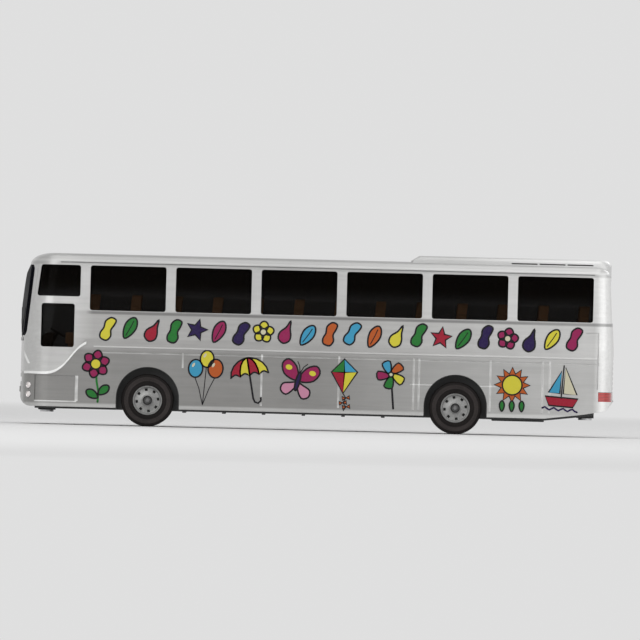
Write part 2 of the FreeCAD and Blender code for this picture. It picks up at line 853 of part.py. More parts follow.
def build():
    """Return every piece by its name."""
    pieces = {
        "body_shell": body_shell(),
        "roof_air_unit": roof_air_unit(),
        "glazing_unit": glazing_unit(),
        "seat_deck": seat_deck(),
        "base_plate": base_plate(),
    }
    reach = tyre_face - axle_inset
    for end, x in wheel_places().items():
        pieces[end + "_axle"] = rod(axle_radius, -reach, reach, x, wheel_radius)
        for side, sign in (("left", -1), ("right", 1)):
            pieces[f"{end}_{side}_tyre"] = tyre(x, sign)
            pieces[f"{end}_{side}_rim"] = rim(x, sign)
    for end, x in rivet_places().items():
        pieces[end + "_rivet"] = rivet(x)
    lamps = Part.makeCompound([lamp(z) for z in (upper_lamp_height, lower_lamp_height)])
    pieces["right_headlamps"], pieces["left_headlamps"] = both_sides(lamps)
    pieces["right_tail_lamp"], pieces["left_tail_lamp"] = both_sides(tail_lamp())
    return pieces


os.makedirs("parts", exist_ok=True)
for name, shape in build().items():
    shape.exportStep("parts/" + name + ".step")
    print(name, "valid" if shape.isValid() else "not valid", len(shape.Solids), round(shape.Volume, 1))
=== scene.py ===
import bmesh
import bpy
from math import copysign, cos, pi, radians, sin, sqrt
from mathutils import Matrix, Vector


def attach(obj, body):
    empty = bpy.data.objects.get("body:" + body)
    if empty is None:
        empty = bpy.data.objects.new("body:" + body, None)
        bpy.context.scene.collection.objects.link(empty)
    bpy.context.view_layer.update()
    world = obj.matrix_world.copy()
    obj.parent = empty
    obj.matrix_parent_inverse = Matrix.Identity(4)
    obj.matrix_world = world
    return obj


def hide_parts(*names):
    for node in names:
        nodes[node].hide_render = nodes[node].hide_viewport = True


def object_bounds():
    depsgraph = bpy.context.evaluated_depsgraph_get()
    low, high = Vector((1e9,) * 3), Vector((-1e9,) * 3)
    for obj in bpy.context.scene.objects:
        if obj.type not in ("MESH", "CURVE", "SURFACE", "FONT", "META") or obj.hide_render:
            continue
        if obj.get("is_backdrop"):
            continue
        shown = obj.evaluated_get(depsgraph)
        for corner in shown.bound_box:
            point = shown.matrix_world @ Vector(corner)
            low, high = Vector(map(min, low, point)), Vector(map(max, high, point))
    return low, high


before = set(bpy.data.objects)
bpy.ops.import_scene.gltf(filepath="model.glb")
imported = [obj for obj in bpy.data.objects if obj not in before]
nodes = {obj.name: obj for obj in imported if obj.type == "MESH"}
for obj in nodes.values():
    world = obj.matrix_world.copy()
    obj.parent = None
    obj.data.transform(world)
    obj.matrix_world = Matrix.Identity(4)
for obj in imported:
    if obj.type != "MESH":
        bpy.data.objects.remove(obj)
cadLow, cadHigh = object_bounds()
mm = 0.001
print("frame loaded:", len(nodes), "nodes")

# shader maths: an expression on wires adds its Math nodes


class Wire:
    def __init__(self, socket):
        self.socket = socket

    def node(self, kind, settings, values, out=0):
        tree = self.socket.id_data
        made = tree.nodes.new(kind)
        for name, value in settings.items():
            setattr(made, name, value)
        for name, value in values.items():
            if isinstance(value, Wire):
                tree.links.new(value.socket, made.inputs[name])
            else:
                made.inputs[name].default_value = value
        return Wire(made.outputs[out])

    def sums(self, operation, first, second, clamp=False):
        settings = {"operation": operation, "use_clamp": clamp}
        return self.node("ShaderNodeMath", settings, {0: first, 1: second})

    def __add__(self, other):
        return self.sums("ADD", self, other)

    def __radd__(self, other):
        return self.sums("ADD", other, self)

    def __sub__(self, other):
        return self.sums("SUBTRACT", self, other)

    def __rsub__(self, other):
        return self.sums("SUBTRACT", other, self)

    def __mul__(self, other):
        return self.sums("MULTIPLY", self, other)

    def __rmul__(self, other):
        return self.sums("MULTIPLY", other, self)

    def __gt__(self, other):
        return self.sums("GREATER_THAN", self, other)

    def __lt__(self, other):
        return self.sums("LESS_THAN", self, other)

    def vectors(self, operation, second, out=0):
        settings = {"operation": operation}
        return self.node("ShaderNodeVectorMath", settings, {0: self, 1: second}, out)

    def mixed(self, first, second):  # this wire is the factor between two colours
        return self.node("ShaderNodeMix", {"data_type": "RGBA"}, {0: self, 6: first, 7: second}, out=2)


def axisOf(place, index):
    return place.node("ShaderNodeSeparateXYZ", {}, {"Vector": place}, out=index)


def within(value, low, high):
    return (value > low) * (value < high)


def rising(value, start, end):  # 0 before start, 1 after end, or falling where end is the lower
    return value.sums("MULTIPLY", value - start, 1 / (end - start), clamp=True)


def softBand(value, low, full, fading, high):  # 1 from full to fading, 0 outside low and high
    return rising(value, low, full) * rising(value, high, fading)


def patch(x, z, spanX, spanZ):  # 1 inside a rectangle, as seen from the side
    return within(x, *spanX) * within(z, *spanZ)


def greater(first, second, clamp=False):
    return first.sums("MAXIMUM", first, second, clamp)


def absolute(value):
    return value.sums("ABSOLUTE", value, 0.0)


def signOf(value):
    return value.sums("SIGN", value, 0.0)


def grain(place, scale, detail=2.0, roughness=0.5):
    values = {"Vector": place, "Scale": scale, "Detail": detail, "Roughness": roughness}
    return place.node("ShaderNodeTexNoise", {}, values)


def streaks(place, stretch):  # fine streaks drawn out along the bus
    return grain(place.vectors("MULTIPLY", (stretch, 1, 1)), 1500, 3.0, 0.6)


def bumped(place, height, depth, edge=0.0):  # depth and edge in metres
    values = {"Height": height, "Distance": depth, "Strength": 1.0}
    if edge:
        values["Normal"] = place.node("ShaderNodeBevel", {"samples": 4}, {"Radius": edge})
    return place.node("ShaderNodeBump", {}, values)


finish = {}


def shaded(colour, factor):
    return tuple(min(1.0, c * factor) for c in colour) + (1,)


def makeFinish(name, looks, settings):
    material = bpy.data.materials.new(name)
    material.use_nodes = True
    tree = material.node_tree
    shader = tree.nodes["Principled BSDF"]
    place = Wire(tree.nodes.new("ShaderNodeTexCoord").outputs["Object"])
    for socket, value in looks(place, settings).items():
        if isinstance(value, Wire):
            tree.links.new(value.socket, shader.inputs[socket])
        else:
            shader.inputs[socket].default_value = value
    finish[name] = material


# silver paint of the casting: tones by place that paint light and shade, painted highlights along
# ridges, brushed streaks, and painted shade in recesses
silverPaint = {
    "low": (0.262, 0.258, 0.25, 1), "waist": (0.385, 0.38, 0.372, 1), "high": (0.5, 0.498, 0.492, 1),
    "nose": (0.54, 0.538, 0.53, 1), "tail": (0.91, 0.91, 0.9, 1), "ridge": (0.9, 0.9, 0.89, 1),
    "inside": (0.03, 0.03, 0.032, 1), "recess": (0.015, 0.015, 0.016, 1), "plate": (0.7, 0.7, 0.68, 1),
}

# the casting's own form in metres: its plan curves, and how far out a raised or sunk face lies
cast = {
    "length": 0.138, "belt": 0.0203, "lean": 1.1 / 19.5, "innerWall": 0.0142, "sideProud": 0.01442,
    "noseHalf": 0.0093, "noseCentre": (-0.009, 0, 0), "noseProud": 0.0601, "noseSunk": 0.0598,
    "cornerCentre": (-0.06235, 0.00835, 0), "cornerProud": 0.0061, "cornerEnd": -0.0622,
    "plateProud": 0.06902,
}

# where the marks lie, in metres: pairs are spans, and fours are soft bands
marked = {
    "waistStart": (0.0172, 0.0182), "postStart": (0.0264, 0.0269), "noseStart": (-0.052, -0.058),
    "slopeFoot": -0.0602, "slope": 1.165, "slopeEdge": (0.0124, 0.0128), "slopeLow": (0.0119, 0.0123),
    "slopeTop": 0.02, "paleAlong": (0.0, 0.066), "paleEnd": (0.0642, 0.0664),
    "paleSides": (0.0095, 0.0125), "skirt": (0.0052, 0.0048), "bead": (0.018, 0.0186),
    "swooshEnd": -0.053, "swoosh": (0.011, 0.0198), "nickFoot": -0.0687, "nickSlope": 2.06,
    "nickEnd": -0.0665, "nickWidth": (0.0169, 0.0172, 0.018, 0.0183), "nickHeight": (0.014, 0.0192),
    "nickOut": (0.0092, 0.0112), "sill": (0.0257, 0.026, 0.0264, 0.0267),
    "sillStart": (-0.054, -0.0525), "gutter": (0.037, 0.0374, 0.0378, 0.0382),
    "roofEdge": (0.038, 0.0386, 0.0397, 0.04), "intake": (0.00975, 0.01085), "intakeHalf": 0.0064,
    "frontEnd": -0.06, "ventFloor": (0.0683, 0.0686), "vents": (0.0104, 0.0184), "ventHalf": 0.0085,
    "ceiling": 0.03, "plates": (0.00735, 0.00875), "plateHalf": 0.003,
}
# spans, as (along, up), where a painted highlight runs along the left recess's edges and the panel
# joints, with a share for each joint
recessEdgeHighlights = (((-0.0561, -0.0554), (0.0055, 0.0114)), ((-0.0655, -0.0557), (0.00525, 0.00555)))
jointHighlights = [
    ((-0.052, 0.0655), (0.01681, 0.01715), 0.6),
    ((0.0216, 0.043), (0.01121, 0.01155), 1.0),
    ((-0.0314, -0.031), (0.0138, 0.0173), 0.8),
]
for share in (0.406, 0.536, 0.662, 0.671, 0.791, 0.879, 0.891):
    at = (share - 0.5) * cast["length"]
    jointHighlights.append(((at - 0.0001, at + 0.00036), (0.00545, 0.01745), 1.0))


def silverLooks(place, paint):
    x, y, z = (axisOf(place, n) for n in range(3))
    spread = absolute(y)
    lean = greater(z - cast["belt"], 0.0) * cast["lean"]
    plan = place.node("ShaderNodeCombineXYZ", {}, {0: x, 1: spread})
    noseOut = plan.vectors("DISTANCE", cast["noseCentre"], 1)
    cornerOut = plan.vectors("DISTANCE", cast["cornerCentre"], 1)

    # painted light and shade in the tones: lower side, waist, lighter window posts and roof, a painted
    # highlight on the nose above the swoosh, and a painted highlight that makes the tail pale
    tone = rising(z, *marked["waistStart"]).mixed(paint["low"], paint["waist"])
    tone = rising(z, *marked["postStart"]).mixed(tone, paint["high"])
    slope = z - (x - marked["slopeFoot"]) * marked["slope"]
    above = rising(slope, *marked["slopeEdge"]) * rising(z, *marked["slopeLow"])
    nose = rising(x, *marked["noseStart"]) * greater(above, z > marked["slopeTop"])
    tone = nose.mixed(tone, paint["nose"])
    pale = rising(x, *marked["paleAlong"]) * 0.43 + rising(x, *marked["paleEnd"]) * 0.6
    pale = pale * (0.45 + rising(spread, *marked["paleSides"]) * 0.55)
    tone = pale.mixed(tone, paint["tail"])

    # painted highlights along ridges: skirt, panel joints, the left recess's edges, bead, swoosh and the
    # nick above the lamps
    joints = sum(patch(x, z, spanX, spanZ) * share for spanX, spanZ, share in jointHighlights)
    edges = sum(patch(x, z, spanX, spanZ) for spanX, spanZ in recessEdgeHighlights) * (y < 0)
    patchy = rising(grain(place, 300), 0.0, 0.6)
    sideProud = spread > cast["sideProud"]
    noseProud = (noseOut > cast["noseProud"]) * (spread < cast["noseHalf"])
    cornerProud = (cornerOut > cast["cornerProud"]) * (spread > cast["noseHalf"])
    cornerProud = cornerProud * (x < cast["cornerEnd"])
    proud = sideProud + noseProud + cornerProud
    swoosh = proud * (x < marked["swooshEnd"]) * within(z, *marked["swoosh"])
    nick = softBand(z + (x - marked["nickFoot"]) * marked["nickSlope"], *marked["nickWidth"])
    nick = nick * (x < marked["nickEnd"]) * within(z, *marked["nickHeight"])
    nick = nick * rising(spread, *marked["nickOut"])
    paintedHighlight = rising(z, *marked["skirt"]) * 0.32 + (joints + edges) * patchy * 0.66
    paintedHighlight = greater(paintedHighlight, sideProud * within(z, *marked["bead"]) * 0.28)
    paintedHighlight = greater(paintedHighlight, greater(swoosh, nick), clamp=True)
    tone = paintedHighlight.mixed(tone, paint["ridge"])

    # shade along the window sills, the gutter and the roof's edge, then the paint's own streaks
    shade = softBand(z, *marked["sill"]) * rising(x, *marked["sillStart"]) * 0.5
    shade = shade + softBand(z, *marked["gutter"]) * 0.27 + softBand(z, *marked["roofEdge"]) * 0.31
    drawn = streaks(place, 0.04)
    cloud = grain(place, 130, 3.0, 0.6)
    flake = grain(place, 9000, 2.0, 0.7)
    worn = rising(drawn * 0.5 + cloud * 0.3 + flake * 0.2, 0.36, 0.64)
    dim = ((1 - shade) * (0.86 + worn * 0.14)).mixed((0, 0, 0, 1), (1, 1, 1, 1))
    multiply = {"data_type": "RGBA", "blend_type": "MULTIPLY"}
    tone = tone.node("ShaderNodeMix", multiply, {0: 1.0, 6: tone, 7: dim}, out=2)

    # painted shade on inner walls and in recesses, and blank plates
    facing = place.node("ShaderNodeNewGeometry", {}, {}, out="True Normal")
    turnX, turnY, turnZ = (axisOf(facing, n) for n in range(3))
    inward = greater(turnX * signOf(x) < -0.35, turnY * signOf(y) < -0.35)
    overhead = (turnZ < -0.7) * (z > marked["ceiling"])
    inside = greater(inward, overhead) * (spread < cast["innerWall"] - lean)
    intake = within(z, *marked["intake"]) * (spread < marked["intakeHalf"])
    intake = intake * (noseOut < cast["noseSunk"]) * (x < marked["frontEnd"])
    vents = patch(x, z, marked["ventFloor"], marked["vents"]) * (spread < marked["ventHalf"])
    recessShade = intake.sums("ADD", intake, vents, clamp=True)
    plates = within(z, *marked["plates"]) * (spread < marked["plateHalf"])
    plates = plates * (absolute(x) > cast["plateProud"])
    for share, name in ((inside, "inside"), (recessShade, "recess"), (plates, "plate")):
        tone = share.mixed(tone, paint[name])
    shiny = 1 - greater(greater(recessShade, plates), inside)
    return {
        "Base Color": tone,
        "Metallic": shiny * 0.5,
        "Roughness": 0.32 + worn * 0.1 + (1 - shiny) * 0.2,
        "Coat Weight": shiny * 0.3,
        "Coat Roughness": 0.1,
        "Normal": bumped(place, drawn * 0.5 + flake * 0.5, 0.000005, edge=0.00009),
    }


makeFinish("bodySilver", silverLooks, silverPaint)


# plain moulded or painted finishes: each names what differs from the usual look
usualLook = {"scale": 4000, "metal": 0.0, "specular": 0.5, "coat": 0.0, "depth": 0.000008, "edge": 0.0}


def mouldedLooks(place, look):
    look = {**usualLook, **look}
    fine = grain(place, look["scale"], 3.0, 0.6)
    mottle = rising(fine * 0.5 + grain(place, 220) * 0.5, 0.35, 0.65)
    darker, lighter = (shaded(look["colour"], 1 + sign * look["varies"]) for sign in (-1, 1))
    return {
        "Base Color": mottle.mixed(darker, lighter),
        "Roughness": look["rough"] - 0.06 + mottle * 0.12,
        "Metallic": look["metal"],
        "Specular IOR Level": look["specular"],
        "Coat Weight": look["coat"],
        "Normal": bumped(place, fine, look["depth"], edge=look["edge"]),
    }


finishes = {
    "seatPlastic": {"colour": (0.88, 0.46, 0.22), "rough": 0.5, "varies": 0.12, "depth": 0.00002},
    "deckPlastic": {"colour": (0.1, 0.06, 0.04), "rough": 0.6, "varies": 0.25},
    "baseBlack": {"colour": (0.036,) * 3, "rough": 0.5, "varies": 0.3, "depth": 0.00001, "edge": 0.0001},
    "axleSteel": {"colour": (0.15,) * 3, "rough": 0.45, "metal": 0.6, "varies": 0.25},
    "rivetMetal": {
        "colour": (0.6, 0.6, 0.61), "rough": 0.34, "metal": 1.0, "varies": 0.15, "edge": 0.0001,
    },
    "rimSilver": {
        "colour": (0.275, 0.275, 0.27), "rough": 0.4, "metal": 0.5, "varies": 0.25, "scale": 2600,
    },
    "slotShade": {"colour": (0.09, 0.088, 0.085), "rough": 0.7, "varies": 0.2},
    "rimShadow": {"colour": (0.012,) * 3, "rough": 0.8, "varies": 0.3},
    "tyreRubber": {
        "colour": (0.0105, 0.0086, 0.0082), "rough": 0.65, "varies": 0.35, "scale": 3000,
        "depth": 0.00001, "specular": 0.12,
    },
    # a painted highlight: a lighter band on the tyre's outer face
    "tyreBandHighlight": {
        "colour": (0.03, 0.025, 0.024), "rough": 0.55, "varies": 0.3, "scale": 3000, "specular": 0.15,
    },
    "wiperBlack": {"colour": (0.018,) * 3, "rough": 0.45, "varies": 0.2},
    "lampBezel": {"colour": (0.75, 0.72, 0.72), "rough": 0.2, "metal": 0.9, "varies": 0.06},
    "lampClear": {"colour": (0.9, 0.84, 0.82), "rough": 0.12, "varies": 0.05, "coat": 1.0},
}
for name, look in finishes.items():
    makeFinish(name, mouldedLooks, look)


# silver of the roof unit, with a painted highlight that makes it paler towards the tail
def unitLooks(place, look):
    x = axisOf(place, 0)
    drawn = streaks(place, 0.05)
    flake = grain(place, 9000, 2.0, 0.7)
    worn = rising(drawn * 0.6 + flake * 0.4, 0.36, 0.64)
    return {
        "Base Color": (rising(x, 0.03, 0.068) * 0.9 + worn * 0.1).mixed(look["near"], look["tail"]),
        "Roughness": 0.34 + worn * 0.1,
        "Metallic": 0.4,
        "Coat Weight": 0.2,
        "Normal": bumped(place, drawn * 0.5 + flake * 0.5, 0.000005, edge=0.00012),
    }


unitTones = {"near": (0.39, 0.39, 0.385, 1), "tail": (0.66, 0.66, 0.655, 1)}
makeFinish("unitSilver", unitLooks, unitTones)


# smoked glazing: thin tint that lets the seats show, denser above them, and denser along the right side
# as painted shade that keeps the view through the far windows dark
glazing = {"fade": (0.03, 0.0335), "rightSide": 0.012}


def glazingLooks(place, look):
    y, z = axisOf(place, 1), axisOf(place, 2)
    haze = grain(place, 90)
    denser = rising(z, *glazing["fade"]) * (look["high"] - look["low"])
    return {
        "Base Color": look["tint"],
        "Alpha": look["low"] + denser + (y > glazing["rightSide"]) * look["right"] + haze * 0.04,
        "Roughness": 0.04 + haze * 0.05,
        "Specular IOR Level": 0.0,
        "Coat Weight": 0.035,
        "Coat Roughness": 0.03,
        "Normal": bumped(place, grain(place, 260, 1.0), 0.00001),
    }


tints = {
    "screenGlass": {"tint": (0.0032, 0.0036, 0.006, 1), "low": 0.7, "high": 0.74, "right": 0.0},
    "tintedGlazing": {"tint": (0.0022, 0.0016, 0.0012, 1), "low": 0.58, "high": 0.74, "right": 0.21},
}
for name, look in tints.items():
    makeFinish(name, glazingLooks, look)


# red lens with fine upright ribs, painted with a lit and a shaded tone across each rib
def lensLooks(place, look):
    values = {"Vector": place, "Scale": 900.0, "Distortion": 0.0}
    ribs = place.node("ShaderNodeTexWave", {"bands_direction": "Z"}, values)
    return {
        "Base Color": rising(ribs, 0.2, 0.8).mixed(look["deep"], look["lit"]),
        "Roughness": 0.16 + ribs * 0.1,
        "Coat Weight": 0.8,
        "Normal": bumped(place, ribs, 0.00003),
    }


lensTones = {"deep": (0.25, 0.012, 0.012, 1), "lit": (0.62, 0.04, 0.035, 1)}
makeFinish("redLens", lensLooks, lensTones)


# printing inks, slightly uneven
def inkLooks(place, colour):
    mottle = rising(grain(place, 2500, 3.0, 0.7), 0.25, 0.6)
    thin = tuple(c * 0.92 + 0.015 for c in colour) + (1,)
    return {
        "Base Color": mottle.mixed(thin, colour + (1,)),
        "Roughness": 0.46 + mottle * 0.08,
        "Specular IOR Level": 0.15,
        "Normal": bumped(place, mottle, 0.000004),
    }


inkColours = {
    "sky": (0.045, 0.28, 0.45), "leaf": (0.018, 0.16, 0.028), "cherry": (0.3, 0.012, 0.03),
    "lemon": (0.58, 0.52, 0.045), "navy": (0.018, 0.008, 0.06), "tangerine": (0.42, 0.09, 0.018),
    "magenta": (0.26, 0.015, 0.08), "pink": (0.5, 0.22, 0.32), "cream": (0.55, 0.52, 0.38),
    "outline": (0.008, 0.007, 0.009),
}
for name, colour in inkColours.items():
    makeFinish("ink" + name.capitalize(), inkLooks, colour)
print("finishes made:", len(bpy.data.materials))

# solids that stay as they are, with their finishes
painted = {
    "body_shell": "bodySilver", "glazing_unit": "tintedGlazing", "base_plate": "baseBlack",
    "front_rivet": "rivetMetal", "rear_rivet": "rivetMetal", "left_tail_lamp": "redLens",
    "right_tail_lamp": "redLens",
}
for name, look in painted.items():
    node = nodes[name]
    if not node.material_slots:
        node.data.materials.append(finish[look])
    for slot in node.material_slots:
        slot.material = finish[look]


def addObject(name, data):
    made = bpy.data.objects.new(name, data)
    bpy.context.scene.collection.objects.link(made)
    return made


def makePiece(name, verts, faces, looks, stands=(), marks=None, sharp=40, body="coach"):
    mesh = bpy.data.meshes.new(name)
    mesh.from_pydata([Vector(v) * mm for v in verts], [], faces)
    for look in looks:
        mesh.materials.append(finish[look])
    if marks:
        mesh.polygons.foreach_set("material_index", marks)
    bm = bmesh.new()
    bm.from_mesh(mesh)
    bmesh.ops.remove_doubles(bm, verts=bm.verts, dist=1e-7)
    bmesh.ops.recalc_face_normals(bm, faces=bm.faces)
    bm.to_mesh(mesh)
    bm.free()
    mesh.shade_smooth()
    mesh.set_sharp_from_angle(angle=radians(sharp))
    piece = addObject(name, mesh)
    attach(piece, body)
    if stands:
        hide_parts(*stands)
    return piece


def soften(piece, width):  # small rounded edges
    bevel = piece.modifiers.new("edges", "BEVEL")
    bevel.width, bevel.segments = width * mm, 2
    bevel.limit_method, bevel.angle_limit = "ANGLE", radians(40)
    bevel.harden_normals = True


def ringFaces(low, high, count):  # quads between two closed rings of as many points
    return [(low + n, low + (n + 1) % count, high + (n + 1) % count, high + n) for n in range(count)]


def addShape(verts, faces, shape):  # adds another shape's points and faces to these
    start = len(verts)
    verts += shape[0]
    faces += [tuple(start + n for n in face) for face in shape[1]]


def turned(profile, origin, axis, steps):  # closed profile of (radius, along) turned about an axis
    axis = Vector(axis).normalized()
    first = axis.orthogonal().normalized() if abs(axis.y) < 0.9 else Vector((1, 0, 0))
    second = axis.cross(first)
    verts, faces, count = [], [], len(profile)
    for n in range(steps):
        turn = 2 * pi * n / steps
        out = first * cos(turn) + second * sin(turn)
        verts += [Vector(origin) + out * radius + axis * along for radius, along in profile]
    for n in range(steps):
        faces += ringFaces(n * count, (n + 1) % steps * count, count)
    return verts, faces


# roof air unit: a rounded cover whose skirt follows the roof, with air slots along its sides
roofUnit = {
    "start": 21.3, "end": 67.9, "half": 11.9, "slant": 0.3, "top": 41.25, "sideRound": 0.9,
    "tailRound": 1.7, "frontCorner": 0.8, "tailCorner": 3.2, "rampFoot": 40.1, "ramp": 1.9,
    "skirt": 38.8, "tailSkirt": 37.4, "slots": 3, "slotStart": 44.6, "slotPitch": 6.5,
    "slotLength": 6.0, "slotLow": 39.82, "slotHigh": 40.12, "slotDepth": 0.3,
}

quarterTurn = [n * pi / 12 for n in range(7)]


def unitRing(sideZ, tailZ, inset, tailInset):  # one level, round from the front middle
    u = roofUnit
    x0, x1 = u["start"], u["end"] - tailInset
    half = u["half"] - inset - u["slant"] * max(0.0, sideZ - u["skirt"])
    radius, corner = u["frontCorner"], u["tailCorner"] - tailInset
    plan = [(x0, 0.0, 0.0)]
    for a in reversed(quarterTurn):
        plan.append((x0 + radius * (1 - sin(a)), half - radius * (1 - cos(a)), 0.0))
    for n in range(u["slots"]):
        first = u["slotStart"] + u["slotPitch"] * n
        plan += [(first, half, 0.0), (first + u["slotLength"], half, 0.0)]
    for a in quarterTurn:
        plan.append((x1 - corner * (1 - sin(a)), half - corner * (1 - cos(a)), sin(a) ** 2))
    plan.append((x1, 0.0, 1.0))
    plan += [(x, -y, share) for x, y, share in reversed(plan[1:-1])]
    ring = []
    for x, y, share in plan:
        z = sideZ + (tailZ - sideZ) * share
        if share == 0:  # the front slants back, less and less towards the tail
            slant = max(0.0, z - u["rampFoot"]) * u["ramp"] / (u["top"] - u["rampFoot"])
            x += slant * (1 - (x - x0) / (x1 - x0))
        ring.append((x, y, z))
    return ring


top, sideRound, tailRound = (roofUnit[name] for name in ("top", "sideRound", "tailRound"))
levels = [(roofUnit["skirt"], roofUnit["tailSkirt"], 0.0, 0.0)]
levels += [(z, z, 0.0, 0.0) for z in (roofUnit["slotLow"], roofUnit["slotHigh"])]
for turn in quarterTurn:
    down, inward = 1 - sin(turn), 1 - cos(turn)
    low, lowTail = top - sideRound * down, top - tailRound * down
    levels.append((low, lowTail, sideRound * inward, tailRound * inward))
verts, faces, marks = [], [], []
for level in levels:
    verts += unitRing(*level)
count = len(verts) // len(levels)
slotColumns = [1 + len(quarterTurn) + 2 * n for n in range(roofUnit["slots"])]
slotColumns += [count - column - 1 for column in slotColumns]
for k in range(len(levels) - 1):
    for n, quad in enumerate(ringFaces(k * count, (k + 1) * count, count)):
        if k == 1 and n in slotColumns:
            inner = len(verts)
            for x, y, z in [verts[v] for v in quad]:
                verts.append((x, y - copysign(roofUnit["slotDepth"], y), z))
            faces.append(range(inner, inner + 4))
            faces += [(quad[m], quad[(m + 1) % 4], inner + (m + 1) % 4, inner + m) for m in range(4)]
            marks += [1] * 5
        else:
            faces.append(quad)
            marks.append(0)
faces.append(range((len(levels) - 1) * count, len(levels) * count))
marks.append(0)
looks = ("unitSilver", "slotShade")
makePiece("roofUnit", verts, faces, looks, ["roof_air_unit"], marks, sharp=32)
print("roof unit made")

# wheels: profiles of (radius, distance out from the wheel's face)
wheel = {
    "front": -39.2, "rear": 32.3, "height": 6.1, "face": 13.6, "steps": 96, "band": (4.4, 5.45),
    "hub": (0.8, 1.1), "holes": 8, "holeSpan": 4, "holeFar": 2.78, "holeDepth": 0.62,
}
tyreSection = [
    (3.78, -3.2), (4.3, -3.2), (5.4, -3.16), (5.86, -3.02), (6.04, -2.78), (6.1, -2.45),
    (6.1, -2.02), (6, -1.97), (6, -1.82), (6.1, -1.77), (6.1, -1.27), (6, -1.22),
    (6, -1.07), (6.1, -1.02), (6.1, -0.62), (6.05, -0.38), (5.9, -0.19), (5.66, -0.09),
    (5.42, -0.05), (5.36, 0), (4.98, 0), (4.92, -0.06), (4.45, -0.05), (4.2, -0.08),
    (4.12, -0.02), (3.56, -0.02), (3.44, -0.08), (3.42, -0.2), (3.44, -0.36), (3.78, -0.38),
]
rimSection = [
    (3.74, -3.15), (3.74, -0.42), (3.4, -0.4), (3.39, -0.16), (3.32, -0.09), (3.18, -0.1),
    (3.08, -0.22), (3, -0.62), (2.9, -0.74), (2.78, -0.76), (2.2, -0.7), (1.55, -0.64),
    (1.36, -0.56), (1.26, -0.34), (1.12, -0.26), (0.9, -0.27), (0.83, -0.34), (0.81, -0.9),
    (0.81, -3.15),
]
axleEnd = [(0, 0.3), (0.42, 0.3), (0.5, 0.38), (0.5, 0.85), (0.8, 0.87)]
axleSection = [(radius, inset - wheel["face"]) for radius, inset in axleEnd]
axleSection += [(radius, -along) for radius, along in reversed(axleSection)]


def bandMarks(section, band):  # 1 for outer faces between two radii
    ring = []
    for n, (radius, along) in enumerate(section):
        middle = (radius + section[(n + 1) % len(section)][0]) / 2
        ring.append(int(band[0] < middle < band[1] and along > -1))
    return ring * wheel["steps"]


def pressHoles(verts, faces, marks, inward):  # pushes each hand hole in and darkens it
    count, span = len(rimSection), wheel["holeSpan"]
    far = [radius for radius, along in rimSection].index(wheel["holeFar"])
    for hole in range(wheel["holes"]):
        first = hole * wheel["steps"] // wheel["holes"]
        inner = {}
        for n in range(first, first + span + 1):
            for k in (far, far + 1):
                inner[n, k] = len(verts)
                verts.append(verts[n * count + k] + inward)
        for n in range(first, first + span):
            corners = ((n, far), (n, far + 1), (n + 1, far + 1), (n + 1, far))
            faces[n * count + far] = [inner[corner] for corner in corners]
            marks[n * count + far] = 1
            for k in (far, far + 1):
                faces.append((n * count + k, (n + 1) * count + k, inner[n + 1, k], inner[n, k]))
        for n in (first, first + span):
            faces.append((n * count + far, n * count + far + 1, inner[n, far + 1], inner[n, far]))
        marks += [1] * (2 * span + 2)


sides = (("left", -1), ("right", 1))
wheelParts = (
    ("Tyre", tyreSection, "band", ("tyreRubber", "tyreBandHighlight"), "tyre_black", 25),
    ("Rim", rimSection, "hub", ("rimSilver", "rimShadow"), "rim_grey", 40),
)
for end in ("front", "rear"):
    body = end + "_wheels"
    for side, sign in sides:
        hub, axis = (wheel[end], sign * wheel["face"], wheel["height"]), (0, sign, 0)
        for kind, section, band, looks, slot, sharp in wheelParts:
            verts, faces = turned(section, hub, axis, wheel["steps"])
            marks = bandMarks(section, wheel[band])
            if kind == "Rim":
                pressHoles(verts, faces, marks, Vector((0, -sign * wheel["holeDepth"], 0)))
            name, stands = end + side.capitalize() + kind, [f"{end}_{side}_{kind.lower()}"]
            makePiece(name, verts, faces, looks, stands, marks, sharp, body)
    verts, faces = turned(axleSection, (wheel[end], 0, wheel["height"]), (0, 1, 0), 48)
    name, stands = end + "AxlePin", [end + "_axle"]
    makePiece(name, verts, faces, ["axleSteel"], stands, sharp=30, body=body)
print("wheels made")

# seats seen through the glazing, in place of the plain seat blocks
seats = {
    "rows": 12, "first": -49.0, "pitch": 9.47, "driver": -58.6, "deck": 17.6, "aisle": 1.9,
    "window": 11.6, "cushion": 4.4, "cushionTop": 21.4, "backTop": 30.45, "backLean": 1.25,
    "backThick": 2.3, "shoulder": 0.9, "shoulderDrop": 3.4, "padCorner": 0.7, "padDrop": 2.3,
}
boxFaces = ((0, 3, 2, 1), (4, 5, 6, 7), (0, 1, 5, 4), (1, 2, 6, 5), (2, 3, 7, 6), (3, 0, 4, 7))


def box(x0, x1, y0, y1, z0, z1, shift=0.0):  # a block whose top may lie further along x
    low = [(x0, y0, z0), (x1, y0, z0), (x1, y1, z0), (x0, y1, z0)]
    return low + [(x + shift, y, z1) for x, y, _ in low], boxFaces


def seatCorner(y, z, radius):
    return [(y + radius * (1 - cos(a)), z + radius * sin(a)) for a in (0.5, 1.0, pi / 2)]


def seatBack(x, y0, y1):  # a back with round shoulders and a head pad
    deck, top = seats["deck"], seats["backTop"]
    half, mid = (y1 - y0) / 2, (y0 + y1) / 2
    shoulderZ, padZ = top - seats["shoulderDrop"], top - seats["padCorner"]
    edge = [(-half, deck + 0.4), (-half, shoulderZ)] + seatCorner(-half, shoulderZ, seats["shoulder"])
    edge += [(-half * 0.55, top - seats["padDrop"]), (-half * 0.52, padZ)]
    edge += seatCorner(-half * 0.52, padZ, seats["padCorner"])
    edge += [(-y, z) for y, z in reversed(edge)]
    verts, count = [], len(edge)
    for thick in (0.0, seats["backThick"]):
        for y, z in edge:
            verts.append((x + thick + seats["backLean"] * (z - deck) / (top - deck), mid + y, z))
    return verts, [range(count), range(count, 2 * count)[::-1]] + ringFaces(0, count, count)


